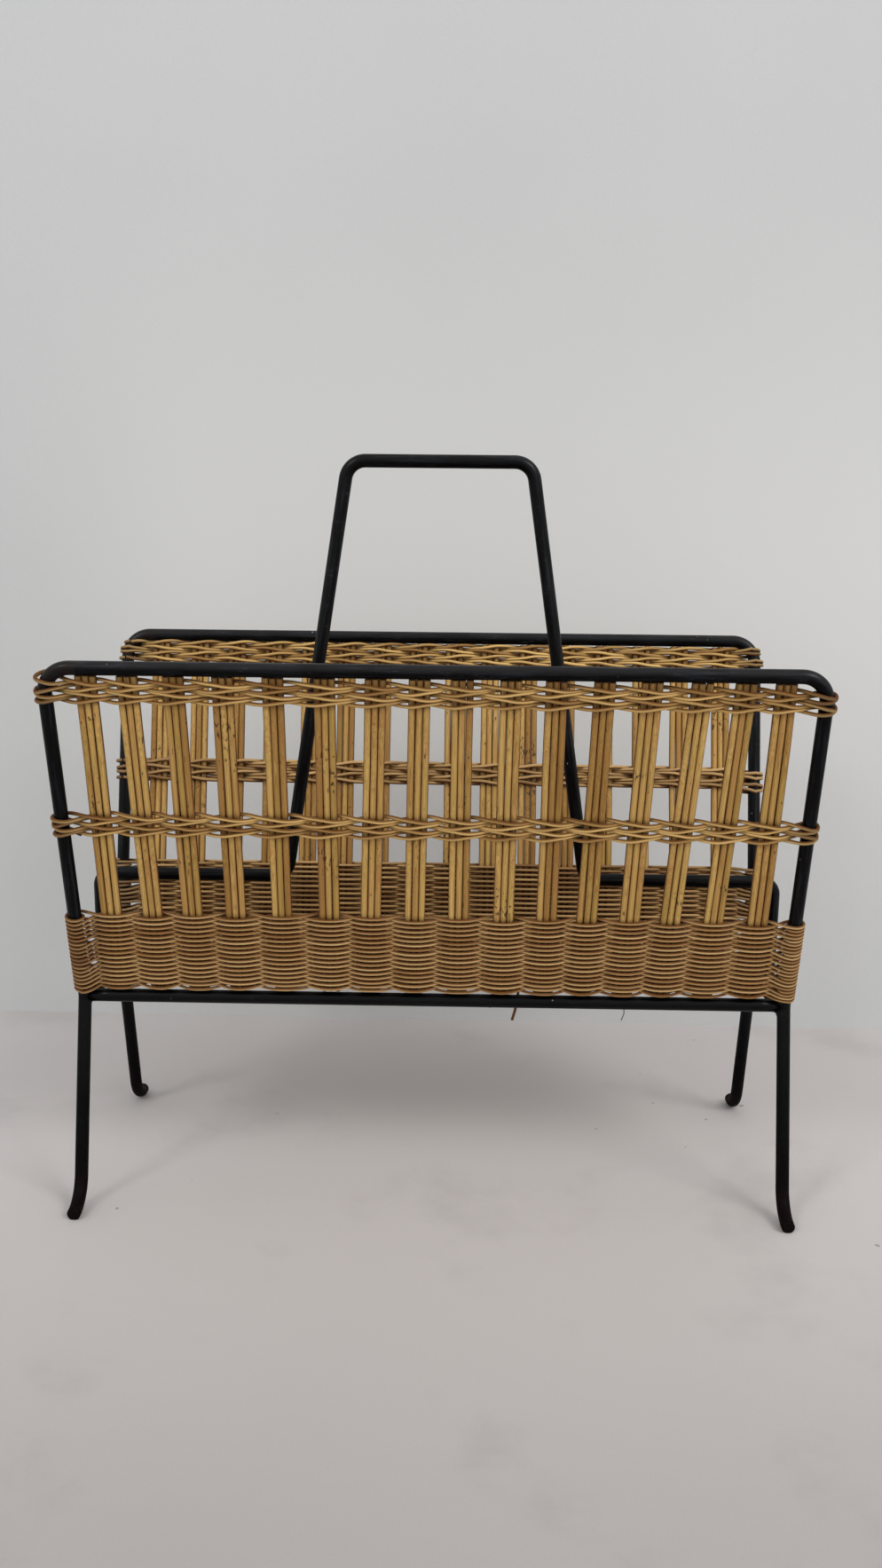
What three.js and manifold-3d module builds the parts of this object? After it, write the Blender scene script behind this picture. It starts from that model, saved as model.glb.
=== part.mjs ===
// Magazine basket: a black rod frame with a wicker trough hung in it, millimetres, +Z up.
// X runs along the basket, Y from the front panel (-) to the back panel (+), the floor is Z = 0.

import * as THREE from 'three';
import Module from 'manifold-3d';
import { mergeVertices } from 'three/addons/utils/BufferGeometryUtils.js';

const wasm = await Module();
wasm.setup();

// Driving dimensions of the rod frame
const rodDiameter = 8;
const frameHalfWidth = 212.5; // middle to the centre line of an upright
const topRailHeight = 332; // floor to the centre line of a top rail
const topRailOffset = 95.5; // middle plane to the centre line of a top rail
const bottomRailHeight = 125.5;
const bottomRailOffset = 43.5;
const topCornerRadius = 15; // bends are given at the rod's centre line
const waistBendRadius = 12;
const legOffsetAtFloor = 72; // middle plane to where a leg's line would meet the floor
const footBendRadius = 20;
const footTailLength = 0.5; // straight end past the foot's bend
const footFlatDepth = 0.35; // worn flat under each foot

// Driving dimensions of the handle, which is one rod with the two dividers
const handleTopHeight = 446;
const handleTopHalfWidth = 55;
const handleTopCornerRadius = 12;
const handleFootHalfWidth = 93.5;
const handleFootBendRadius = 10;
const dividerHeight = 190.5;
const dividerEndRadius = 8;

// Driving dimensions of the wicker
const reedDiameter = 4.1; // the upright reeds, three side by side to a stake
const weaverDiameter = 1.8; // the thin reeds of the woven bands
const stakeCount = 16;
const reedsPerStake = 3;
const outerStakeMargin = 22.75; // an upright's centre line to the centre of the nearest stake
const stakeBendRadius = 3; // where the reeds turn over a bottom rail
const topBandHeight = 13.2; // band heights are measured along the sloping panel
const middleBandHeight = 12.6;
const bottomBandHeight = 50;
const bottomBandStart = 9; // bottom rail's centre line to the band's lower edge
const frontMiddleBandStart = 112;
const backMiddleBandStart = 114;
const frontTopBandDrop = 6.6; // top rail's centre line to the band's upper edge
const backTopBandDrop = 4.8;
const floorMargin = 7.5; // bottom rail's centre line to the edge of the woven floor

// Clearances and welds
const clearance = 0.3; // between pieces that touch
const weldBeadHeight = 2.2; // how far a bead stands out from its rod
const weldBeadLength = 2.5;
const cutOverrun = 5; // how far a cutter passes the faces it cuts

// Facets
const rodSides = 12;
const reedSides = 6;
const topCornerSteps = 6;
const waistBendSteps = 3;
const footBendSteps = 7;
const stakeBendSteps = 3;
const wrapSteps = 8;
const beadSides = 12;

// How far each stake stands off its even place, as shares of the stake pitch: where it ends
// under the front top rail, where it turns over the front bottom rail, and along the back panel.
const frontTopShares = [
  0.02, -0.09, -0.1, -0.04, 0.04, 0.15, 0.25, 0.2, 0.11, 0.15, 0.12, 0.15, 0.16, 0.22, 0.15, 0.01,
];
const frontFootShares = [
  -0.04, -0.04, -0.12, -0.13, -0.05, 0.05, -0.02, 0.02, 0.07, 0.12, 0.13, 0.03, 0.02, -0.08, -0.06, 0.02,
];
const backShares = [
  0.01, 0.06, 0.05, 0.03, 0.03, 0, -0.04, -0.07, -0.12, -0.16, -0.13, -0.13, -0.11, -0.12, -0.12, -0.01,
];
const bandCrestShare = 0.85; // of a stake's half width, where a band stands proud over it
const reedSeamShare = 0.3; // of a reed's radius, how deep the seams between reeds leave them joined

// Worked out from the driving dimensions
const rodRadius = rodDiameter / 2;
const reedRadius = reedDiameter / 2;
const panelRise = topRailHeight - bottomRailHeight;
const panelLean = topRailOffset - bottomRailOffset;
const panelAngle = Math.atan2(panelLean, panelRise);
const panelLength = Math.hypot(panelLean, panelRise);
const outerStakeOffset = frameHalfWidth - outerStakeMargin;
const stakePitch = (2 * outerStakeOffset) / (stakeCount - 1);
const outerReedOffset = ((reedsPerStake - 1) / 2) * reedDiameter;
const stakeHalfWidth = outerReedOffset + reedRadius;
const slotHalfDepth = reedRadius + clearance;
const slotCornerRadius = cornerReach(slotHalfDepth, reedSides);
const slotHalfWidth = outerReedOffset + slotCornerRadius;
const bandHalfDepth = slotHalfDepth + weaverDiameter;
const bandNeckHalfDepth = weaverDiameter + clearance;
const wrapRadius = rodRadius + clearance + weaverDiameter;
const floorReedHeight = bottomRailHeight + rodRadius + clearance + reedRadius;
const floorReedAlongPanel = (floorReedHeight - bottomRailHeight) / Math.cos(panelAngle);
const stakeTopAlongPanel = panelLength - rodRadius - 2 * clearance;
const footAxisHeight = rodRadius - footFlatDepth;
const weldBeadRadius = rodRadius + weldBeadHeight;

// Finishes
const blackPaint = new THREE.MeshStandardMaterial({ color: 0x17171a, roughness: 0.42, metalness: 0.2 });
const goldenReed = new THREE.MeshStandardMaterial({ color: 0xb98f4e, roughness: 0.6, metalness: 0 });
const tanWeave = new THREE.MeshStandardMaterial({ color: 0x8f6f45, roughness: 0.7, metalness: 0 });

// A path that hands an extrusion its own stations, close together only in the bends.
class StationPath extends THREE.Curve {
  constructor(stations) {
    super();
    this.stations = stations;
  }

  indexAt(u) {
    return Math.round(u * (this.stations.length - 1));
  }

  getPointAt(u, target = new THREE.Vector3()) {
    return target.copy(this.stations[this.indexAt(u)]);
  }

  getTangentAt(u, target = new THREE.Vector3()) {
    const last = this.stations.length - 1;
    const index = this.indexAt(u);
    const here = this.stations[index];
    const before = this.stations[Math.max(index - 1, 0)];
    const after = this.stations[Math.min(index + 1, last)];
    const arriving = here.clone().sub(before).normalize();
    const leaving = after.clone().sub(here).normalize();
    return target.copy(arriving).add(leaving).normalize();
  }
}

// A stake's path, which keeps the flat of the stake square to the sheet all the way.
class FlatPath extends StationPath {
  computeFrenetFrames(segments) {
    const frames = { tangents: [], normals: [], binormals: [] };
    for (let i = 0; i <= segments; i++) {
      const tangent = this.getTangentAt(i / segments);
      const normal = new THREE.Vector3(1, 0, 0).projectOnPlane(tangent).normalize();
      frames.tangents.push(tangent);
      frames.normals.push(normal);
      frames.binormals.push(new THREE.Vector3().crossVectors(tangent, normal));
    }
    return frames;
  }
}

// The stations of a rod or stake: straight runs between corners, each turned as a tangent arc.
function bentStations(corners) {
  const stations = [corners[0].at];
  for (let i = 1; i < corners.length - 1; i++) {
    const { at, radius, steps } = corners[i];
    const back = corners[i - 1].at.clone().sub(at).normalize();
    const ahead = corners[i + 1].at.clone().sub(at).normalize();
    const halfTurn = (Math.PI - back.angleTo(ahead)) / 2;
    const inward = back.clone().add(ahead).normalize();
    const along = ahead.clone().sub(back).normalize();
    const centre = at.clone().addScaledVector(inward, radius / Math.cos(halfTurn));
    for (let s = 0; s <= steps; s++) {
      const angle = halfTurn * ((2 * s) / steps - 1);
      const station = centre.clone().addScaledVector(inward, -radius * Math.cos(angle));
      stations.push(station.addScaledVector(along, radius * Math.sin(angle)));
    }
  }
  stations.push(corners[corners.length - 1].at);
  return stations;
}

function extruded(path, outline) {
  const steps = path.stations.length - 1;
  return new THREE.ExtrudeGeometry(new THREE.Shape(outline), { steps, extrudePath: path });
}

// The reach of the corners of a many-sided section whose flats lie at the given radius.
function cornerReach(radius, sides) {
  return radius / Math.cos(Math.PI / sides);
}

function tube(path, radius, sides) {
  const reach = cornerReach(radius, sides);
  const outline = [];
  for (let i = 0; i < sides; i++) {
    const angle = ((i + 1 / 2) / sides) * 2 * Math.PI;
    outline.push(new THREE.Vector2(reach * Math.cos(angle), reach * Math.sin(angle)));
  }
  return extruded(path, outline);
}

function straightRod(from, to, radius) {
  return tube(new StationPath([from, to]), radius, rodSides);
}

function solidOf(geometry) {
  const bare = geometry.clone();
  bare.deleteAttribute('normal');
  bare.deleteAttribute('uv');
  const merged = mergeVertices(bare);
  const vertProperties = new Float32Array(merged.attributes.position.array);
  const triVerts = new Uint32Array(merged.index.array);
  return new wasm.Manifold(new wasm.Mesh({ numProp: 3, vertProperties, triVerts }));
}

function geometryOf(solid) {
  const { vertProperties, triVerts } = solid.getMesh();
  const geometry = new THREE.BufferGeometry();
  geometry.setAttribute('position', new THREE.BufferAttribute(vertProperties, 3));
  geometry.setIndex(new THREE.BufferAttribute(triVerts, 1));
  geometry.computeVertexNormals();
  return geometry;
}

function joined(solids) {
  return solids.reduce((sum, solid) => sum.add(solid));
}

function cutBy(geometry, cutters) {
  return geometryOf(cutters.reduce((left, cutter) => left.subtract(solidOf(cutter)), solidOf(geometry)));
}

const basket = new THREE.Group();

function addPiece(parent, name, geometry, material) {
  const mesh = new THREE.Mesh(geometry, material);
  mesh.name = name;
  parent.add(mesh);
  return mesh;
}

// Side rods: one rod bent foot, leg, waist, upright, top rail and down again, front and back

function sideRodPath(side) {
  const offset = (across, out, up) => new THREE.Vector3(across, side * out, up);
  const legTurn = Math.atan2(bottomRailHeight - footAxisHeight, legOffsetAtFloor - bottomRailOffset);
  const footReach = legOffsetAtFloor + footBendRadius * Math.tan(legTurn / 2) + footTailLength;
  const corners = [];
  for (const hand of [-1, 1]) {
    const across = hand * frameHalfWidth;
    const half = [
      { at: offset(across, footReach, footAxisHeight) },
      { at: offset(across, legOffsetAtFloor, footAxisHeight), radius: footBendRadius, steps: footBendSteps },
      { at: offset(across, bottomRailOffset, bottomRailHeight), radius: waistBendRadius, steps: waistBendSteps },
      { at: offset(across, topRailOffset, topRailHeight), radius: topCornerRadius, steps: topCornerSteps },
    ];
    corners.push(...(hand < 0 ? half : half.reverse()));
  }
  return new StationPath(bentStations(corners));
}

function sideRod(side) {
  const path = sideRodPath(side);
  const tips = [path.stations[0], path.stations[path.stations.length - 1]];
  const tip = new THREE.SphereGeometry(cornerReach(rodRadius, rodSides), rodSides, rodSides / 2);
  tip.rotateY(Math.PI / rodSides);
  const roundEnds = tips.map((at) => solidOf(tip.clone().translate(at.x, at.y, at.z)));
  const rod = joined([solidOf(tube(path, rodRadius, rodSides)), ...roundEnds]);
  const span = frameHalfWidth + rodDiameter + cutOverrun;
  const below = new THREE.BoxGeometry(2 * span, 2 * span, rodDiameter).translate(0, 0, -rodRadius);
  return geometryOf(rod.subtract(solidOf(below)));
}

addPiece(basket, 'front_side_rod', sideRod(-1), blackPaint);
addPiece(basket, 'back_side_rod', sideRod(1), blackPaint);

// Bottom rails between the two waists of a side rod, and end rods from front to back

const railHalfLength = frameHalfWidth - rodRadius - clearance;
const endRodHalfLength = bottomRailOffset - rodRadius - clearance;

for (const [name, side] of [['front_bottom_rail', -1], ['back_bottom_rail', 1]]) {
  const from = new THREE.Vector3(-railHalfLength, side * bottomRailOffset, bottomRailHeight);
  const to = new THREE.Vector3(railHalfLength, side * bottomRailOffset, bottomRailHeight);
  addPiece(basket, name, straightRod(from, to, rodRadius), blackPaint);
}

function endRod(hand, radius, halfLength) {
  const from = new THREE.Vector3(hand * frameHalfWidth, -halfLength, bottomRailHeight);
  const to = new THREE.Vector3(hand * frameHalfWidth, halfLength, bottomRailHeight);
  return straightRod(from, to, radius);
}

addPiece(basket, 'left_end_rod', endRod(-1, rodRadius, endRodHalfLength), blackPaint);
addPiece(basket, 'right_end_rod', endRod(1, rodRadius, endRodHalfLength), blackPaint);

// Handle and dividers: one rod in the middle plane, standing on the two end rods

const dividerFootHeight = bottomRailHeight + rodRadius + clearance;

function handlePath() {
  const corners = [];
  for (const hand of [-1, 1]) {
    const corner = (across, up, radius) => ({
      at: new THREE.Vector3(hand * across, 0, up),
      radius,
      steps: topCornerSteps,
    });
    const half = [
      { at: new THREE.Vector3(hand * frameHalfWidth, 0, dividerFootHeight) },
      corner(frameHalfWidth, dividerHeight, dividerEndRadius),
      corner(handleFootHalfWidth, dividerHeight, handleFootBendRadius),
      corner(handleTopHalfWidth, handleTopHeight, handleTopCornerRadius),
    ];
    corners.push(...(hand < 0 ? half : half.reverse()));
  }
  return new StationPath(bentStations(corners));
}

addPiece(basket, 'handle_divider_rod', tube(handlePath(), rodRadius, rodSides), blackPaint);

// Weld beads: a collar at the end of each rod, cut to the rod that it is welded to

function weldCollar(at, away) {
  const profile = [
    new THREE.Vector2(0, -rodRadius),
    new THREE.Vector2(cornerReach(weldBeadRadius, beadSides), -rodRadius),
    new THREE.Vector2(cornerReach(weldBeadRadius, beadSides), 0),
    new THREE.Vector2(cornerReach(rodRadius + 2 * clearance, beadSides), weldBeadLength),
    new THREE.Vector2(0, weldBeadLength),
  ];
  const collar = new THREE.LatheGeometry(profile, beadSides);
  collar.applyQuaternion(new THREE.Quaternion().setFromUnitVectors(new THREE.Vector3(0, 1, 0), away));
  return solidOf(collar.translate(at.x, at.y, at.z));
}

for (const [sideName, side] of [['front', -1], ['back', 1]]) {
  const cutter = solidOf(tube(sideRodPath(side), rodRadius + clearance, rodSides));
  for (const [handName, hand] of [['left', -1], ['right', 1]]) {
    const atRail = new THREE.Vector3(hand * railHalfLength, side * bottomRailOffset, bottomRailHeight);
    const atEndRod = new THREE.Vector3(hand * frameHalfWidth, side * endRodHalfLength, bottomRailHeight);
    const railCollar = weldCollar(atRail, new THREE.Vector3(-hand, 0, 0));
    const endCollar = weldCollar(atEndRod, new THREE.Vector3(0, -side, 0));
    const railEnd = straightRod(
      new THREE.Vector3(0, side * bottomRailOffset, bottomRailHeight),
      atRail.clone().setX(hand * (railHalfLength + clearance)),
      rodRadius + clearance,
    );
    const endRodEnd = endRod(hand, rodRadius + clearance, endRodHalfLength + clearance);
    const collars = railCollar.add(endCollar).subtract(cutter);
    const bead = collars.subtract(solidOf(railEnd)).subtract(solidOf(endRodEnd));
    addPiece(basket, `${sideName}_${handName}_weld_bead`, geometryOf(bead), blackPaint);
  }
}

for (const [handName, hand] of [['left', -1], ['right', 1]]) {
  const at = new THREE.Vector3(hand * frameHalfWidth, 0, dividerFootHeight);
  const up = at.clone().setZ(dividerHeight);
  const collar = weldCollar(at, new THREE.Vector3(0, 0, 1));
  const onEndRod = collar.subtract(solidOf(endRod(hand, rodRadius + clearance, endRodHalfLength)));
  const below = at.clone().setZ(bottomRailHeight);
  const bead = onEndRod.subtract(solidOf(straightRod(below, up, rodRadius + clearance)));
  addPiece(basket, `${handName}_divider_weld_bead`, geometryOf(bead), blackPaint);
}

// Where the sheet of stakes stands, read across the basket and then along a panel or the floor

function evenPlace(index) {
  return (2 * index / (stakeCount - 1) - 1) * outerStakeOffset;
}

// Shares for a changed stake count are read at the same share of the way across.
function shareAt(shares, index) {
  const place = (index / Math.max(stakeCount - 1, 1)) * (shares.length - 1);
  return shares[Math.round(place)];
}

function stakePlace(shares, index) {
  return evenPlace(index) + shareAt(shares, index) * stakePitch;
}

// Moves a point that was drawn on even stakes to where the leaning stakes pass.
function leanShift(across, shares) {
  const rigid = slotHalfWidth + clearance;
  const shift = (index) => (index < 0 || index >= stakeCount ? 0 : shareAt(shares, index) * stakePitch);
  const nearest = Math.round((across + outerStakeOffset) / stakePitch);
  const off = across - evenPlace(nearest);
  if (Math.abs(off) <= rigid) return shift(nearest);
  const next = nearest + Math.sign(off);
  const part = (Math.abs(off) - rigid) / (stakePitch - 2 * rigid);
  return shift(nearest) * (1 - part) + shift(next) * part;
}

// A band's outline: proud over each stake, drawn in between, and round the rod at each end.
// sag is how far the end rods lie to one side of the stakes.
function bandShape(sag) {
  const crest = bandCrestShare * stakeHalfWidth;
  const edge = (face) => {
    const points = [];
    for (let i = 0; i < stakeCount; i++) {
      const across = evenPlace(i);
      points.push(new THREE.Vector2(across - crest, face * bandHalfDepth));
      points.push(new THREE.Vector2(across + crest, face * bandHalfDepth));
      if (i < stakeCount - 1) {
        points.push(new THREE.Vector2(across + stakePitch / 2, face * bandNeckHalfDepth));
      }
    }
    return points;
  };
  const wrap = (hand) => {
    const points = [];
    for (let s = 0; s <= wrapSteps; s++) {
      const angle = Math.PI * (s / wrapSteps - 1 / 2);
      const across = frameHalfWidth + wrapRadius * Math.cos(angle);
      points.push(new THREE.Vector2(hand * across, sag + hand * wrapRadius * Math.sin(angle)));
    }
    return points;
  };
  const shape = new THREE.Shape([...edge(-1), ...wrap(1), ...edge(1).reverse(), ...wrap(-1)]);
  for (let i = 0; i < stakeCount; i++) {
    const slot = [];
    for (const hand of [1, -1]) {
      const centre = evenPlace(i) + hand * outerReedOffset;
      for (const turn of [-1, 0, 1]) {
        const angle = (turn * Math.PI) / 3;
        const along = hand * slotCornerRadius * Math.cos(angle);
        slot.push(new THREE.Vector2(centre + along, hand * slotCornerRadius * Math.sin(angle)));
      }
    }
    shape.holes.push(new THREE.Path(slot));
  }
  return shape;
}

// Extrudes a band and leans it with the stakes, whose shares at both ends of it are given.
function bandGeometry(height, sag, lowShares, highShares) {
  const geometry = new THREE.ExtrudeGeometry(bandShape(sag), { depth: height, bevelEnabled: false });
  const place = geometry.attributes.position;
  for (let i = 0; i < place.count; i++) {
    const part = place.getZ(i) / height;
    const across = place.getX(i);
    const shift = leanShift(across, lowShares) * (1 - part) + leanShift(across, highShares) * part;
    place.setX(i, across + shift);
  }
  geometry.computeVertexNormals();
  return geometry;
}

function mixedShares(low, high, part) {
  return low.map((share, i) => share * (1 - part) + high[i] * part);
}

// Panels: three woven bands each, in a group that leans outwards from its bottom rail

const panels = [
  {
    name: 'front',
    side: -1,
    footShares: frontFootShares,
    topShares: frontTopShares,
    bands: [
      { name: 'bottom', start: bottomBandStart, height: bottomBandHeight },
      { name: 'middle', start: frontMiddleBandStart, height: middleBandHeight },
      { name: 'top', start: panelLength - frontTopBandDrop - topBandHeight, height: topBandHeight },
    ],
  },
  {
    name: 'back',
    side: 1,
    footShares: backShares,
    topShares: backShares,
    bands: [
      { name: 'bottom', start: bottomBandStart, height: bottomBandHeight },
      { name: 'middle', start: backMiddleBandStart, height: middleBandHeight },
      { name: 'top', start: panelLength - backTopBandDrop - topBandHeight, height: topBandHeight },
    ],
  },
];

for (const panel of panels) {
  const frame = new THREE.Group();
  frame.position.set(0, panel.side * bottomRailOffset, bottomRailHeight);
  frame.rotation.x = -panel.side * panelAngle;
  frame.updateMatrix();
  basket.add(frame);
  const sideRodRoom = tube(sideRodPath(panel.side), rodRadius + clearance, rodSides);
  sideRodRoom.applyMatrix4(frame.matrix.clone().invert());
  const sharesAt = (along) => {
    const part = (along - floorReedAlongPanel) / (stakeTopAlongPanel - floorReedAlongPanel);
    return mixedShares(panel.footShares, panel.topShares, part);
  };
  for (const band of panel.bands) {
    const low = sharesAt(band.start);
    const high = sharesAt(band.start + band.height);
    const sheet = bandGeometry(band.height, 0, low, high).translate(0, 0, band.start);
    addPiece(frame, `${panel.name}_${band.name}_band`, cutBy(sheet, [sideRodRoom]), tanWeave);
  }
}

// Woven floor between the bottom rails, with its ends round the end rods

const floorDepth = 2 * (bottomRailOffset - floorMargin);

function wovenFloor() {
  const footSpan = 2 * (bottomRailOffset + floorReedAlongPanel * Math.sin(panelAngle));
  const margin = (footSpan - floorDepth) / 2 / footSpan;
  const low = mixedShares(frontFootShares, backShares, margin);
  const high = mixedShares(frontFootShares, backShares, 1 - margin);
  const sag = floorReedHeight - bottomRailHeight;
  const sheet = bandGeometry(floorDepth, sag, low, high);
  sheet.rotateX(-Math.PI / 2);
  sheet.translate(0, -floorDepth / 2, floorReedHeight);
  const room = [];
  for (const hand of [-1, 1]) {
    const from = new THREE.Vector3(hand * frameHalfWidth, 0, bottomRailHeight);
    const to = from.clone().setZ(dividerHeight);
    room.push(straightRod(from, to, weldBeadRadius + clearance));
    room.push(endRod(hand, rodRadius + clearance, bottomRailOffset));
  }
  return cutBy(sheet, room);
}

addPiece(basket, 'woven_floor', wovenFloor(), tanWeave);

// Stakes: three reeds side by side from under the front top rail, down the front panel, over
// both bottom rails and up to the back top rail

function stakePath(index) {
  const onPanel = (side, shares, along) =>
    new THREE.Vector3(
      stakePlace(shares, index),
      side * (bottomRailOffset + along * Math.sin(panelAngle)),
      bottomRailHeight + along * Math.cos(panelAngle),
    );
  const bend = { radius: stakeBendRadius, steps: stakeBendSteps };
  const stations = bentStations([
    { at: onPanel(-1, frontTopShares, stakeTopAlongPanel) },
    { at: onPanel(-1, frontFootShares, floorReedAlongPanel), ...bend },
    { at: onPanel(1, backShares, floorReedAlongPanel), ...bend },
    { at: onPanel(1, backShares, stakeTopAlongPanel) },
  ]);
  return new FlatPath(stations);
}

// A stake's section: round lobes for the reeds, joined at the seams between them.
function stakeOutline() {
  const seam = reedSeamShare * reedRadius;
  const half = (face) => {
    const points = [new THREE.Vector2(-face * stakeHalfWidth, 0)];
    for (let reed = 0; reed < reedsPerStake; reed++) {
      const centre = face * (reed * reedDiameter - outerReedOffset);
      for (const turn of [-1, 1]) {
        const along = centre + (face * turn * reedRadius) / 2;
        points.push(new THREE.Vector2(along, -face * reedRadius * Math.sin(Math.PI / 3)));
      }
      if (reed < reedsPerStake - 1) {
        points.push(new THREE.Vector2(centre + face * reedRadius, -face * seam));
      }
    }
    return points;
  };
  return [...half(1), ...half(-1)];
}

for (let index = 0; index < stakeCount; index++) {
  const name = `stake_${String(index + 1).padStart(2, '0')}`;
  addPiece(basket, name, extruded(stakePath(index), stakeOutline()), goldenReed);
}

export default basket;
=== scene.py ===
import bpy
import numpy as np
from mathutils import Matrix


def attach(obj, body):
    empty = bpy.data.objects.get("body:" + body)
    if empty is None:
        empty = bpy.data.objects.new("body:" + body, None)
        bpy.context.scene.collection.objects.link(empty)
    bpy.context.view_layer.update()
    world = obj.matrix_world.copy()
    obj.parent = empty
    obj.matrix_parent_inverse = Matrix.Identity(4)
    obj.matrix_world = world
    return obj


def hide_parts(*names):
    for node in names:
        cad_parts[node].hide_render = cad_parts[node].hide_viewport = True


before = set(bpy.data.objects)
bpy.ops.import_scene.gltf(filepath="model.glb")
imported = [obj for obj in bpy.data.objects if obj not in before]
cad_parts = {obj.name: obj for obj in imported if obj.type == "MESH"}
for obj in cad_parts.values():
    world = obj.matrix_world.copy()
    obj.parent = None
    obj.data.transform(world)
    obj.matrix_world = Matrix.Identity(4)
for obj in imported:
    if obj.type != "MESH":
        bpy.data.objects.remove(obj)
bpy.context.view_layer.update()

# ---- Side rods ----
# Two long 8 mm steel rods, front and back. Each is bent from one foot up a leg, out at the waist,
# up to the top rail, across and down again, and painted black. The paint is worn at the feet.

MM = 0.001  # metres
ROD = 4.0  # radius of every rod
UPRIGHT = 212.5  # middle to an upright's centre line
WAIST = np.array([43.5, 125.5])  # out from the middle plane, and up
SHOULDER = np.array([95.5, 332.0])  # the same, where an upright meets the top rail
PANEL_LEAN = np.arctan2(*(SHOULDER - WAIST))
FOOT_BEND_AT = 72.0  # middle plane to where a leg turns out into its toe
FOOT_TIP_AT = 88.3  # middle plane to the toe's end
FOOT_HEIGHT = 3.65  # centre line of a toe, which is worn flat beneath
SHOULDER_BEND = 15
SIDE_BENDS = [20, 12, SHOULDER_BEND]  # bend radii at a toe, at the waist and at the shoulder
TOE_END = [(-0.28, 1), (-0.1, 0.96), (0.01, 0.82), (0.05, 0.55)]  # rounded over
ROD_SIDES = 28
ROD_STEP = 12  # between the rings of a straight length
ARC_STEP = 0.12  # radians between the rings of a bend, at most


def unit(vectors):
    """Vectors divided by their lengths."""
    return vectors / np.linalg.norm(vectors, axis=-1, keepdims=True)


def ahead_of(path):
    """The way a path goes at each point: the mean of the unit steps before and after it."""
    step = unit(np.diff(path, axis=0))
    return unit(np.vstack([step[:1], step[:-1] + step[1:], step[-1:]]))


def bent(corners, radii):
    """The line through corners, with an arc of the given radius in place of each inner corner.

    An arc starts radius x tan(turn / 2) before its corner. Its points are the centre plus
    radius x (cos a x out + sin a x came), where out points from the centre to the arc's start.
    """
    corners = np.array(corners, float)
    runs = [corners[:1]]
    for before, at, after, radius in zip(corners, corners[1:], corners[2:], radii):
        came, goes = unit(at - before), unit(after - at)
        turn = np.arccos(came @ goes)
        centre = at + unit(goes - came) * radius / np.cos(turn / 2)
        start = at - came * radius * np.tan(turn / 2)
        angle = np.linspace(0, turn, 3 + int(turn / ARC_STEP))[:, None]
        runs.append(centre + np.cos(angle) * (start - centre) + np.sin(angle) * radius * came)
    runs.append(corners[-1:])
    line = [runs[0]]
    for run, following in zip(runs, runs[1:]):
        gap = following[0] - run[-1]
        pieces = max(1, round(np.linalg.norm(gap) / ROD_STEP))
        line.append(run[-1] + gap * np.linspace(0, 1, pieces + 1)[1:-1, None])
        line.append(following)
    return np.vstack(line)


def tube(path, radius, guide, sides, ends=((0, 1),), **marks):
    """A round rod along a path: path + radius x (cos a x first + sin a x second).

    First is the guide made square to the path, and second is ahead x first, so the faces look
    outwards. Ends lists (how far past the path's end, share of the radius), both in radii, for the
    rings that close each end. UV is (turn, length in metres). A mark is a number per station, or a
    direction per station, which is kept as how far each side of the rod faces it.
    """
    ahead = ahead_of(path)
    radius = np.broadcast_to(np.asarray(radius, float), len(path))
    guide = np.broadcast_to(np.asarray(guide, float), path.shape)
    past, share = np.array(ends, float).T
    opening = path[0] - ahead[0] * radius[0] * past[::-1, None]
    closing = path[-1] + ahead[-1] * radius[-1] * past[:, None]
    line = np.vstack([opening, path[1:-1], closing])
    rings = [len(past)] + [1] * (len(path) - 2) + [len(past)]  # how many at each station
    ahead, guide = np.repeat(ahead, rings, 0), np.repeat(guide, rings, 0)
    width = np.repeat(radius, rings)
    width = width * np.concatenate([share[::-1], np.ones(len(path) - 2), share])
    first = unit(guide - ahead * np.sum(guide * ahead, 1, keepdims=True))
    second = np.cross(ahead, first)
    angle = np.arange(sides) * 2 * np.pi / sides
    ring = np.cos(angle)[:, None] * first[:, None] + np.sin(angle)[:, None] * second[:, None]
    points = line[:, None] + ring * width[:, None, None]

    station, turn = np.meshgrid(np.arange(len(line) - 1), np.arange(sides), indexing="ij")
    here, beside = station * sides + turn, station * sides + (turn + 1) % sides
    quads = np.stack([here, beside, beside + sides, here + sides], -1)
    along = np.concatenate([[0], np.cumsum(np.linalg.norm(np.diff(line, axis=0), axis=1))]) * MM
    near, far = along[station], along[station + 1]
    around = np.stack([turn, turn + 1, turn + 1, turn], -1) / sides
    uv = np.stack([around, np.stack([near, near, far, far], -1)], -1)
    last = (len(line) - 1) * sides
    caps = np.stack([np.arange(sides)[::-1], last + np.arange(sides)])
    cap_length = np.repeat(along[[0, -1]], sides).reshape(2, -1)
    cap_uv = np.stack([np.full((2, sides), 0.25), cap_length], -1)
    kept = {}
    for name, value in marks.items():
        value = np.asarray(value, float)
        value = np.repeat(np.broadcast_to(value, (len(path), *value.shape[1:])), rings, 0)
        if value.ndim == 2:
            kept[name] = np.sum(ring * value[:, None], -1).ravel()
        else:
            kept[name] = np.repeat(value, sides)
    return {
        "points": points.reshape(-1, 3),
        "faces": [quads.reshape(-1, 4), caps],
        "uv": [uv.reshape(-1, 4, 2), cap_uv],
        "marks": kept,
    }


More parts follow.
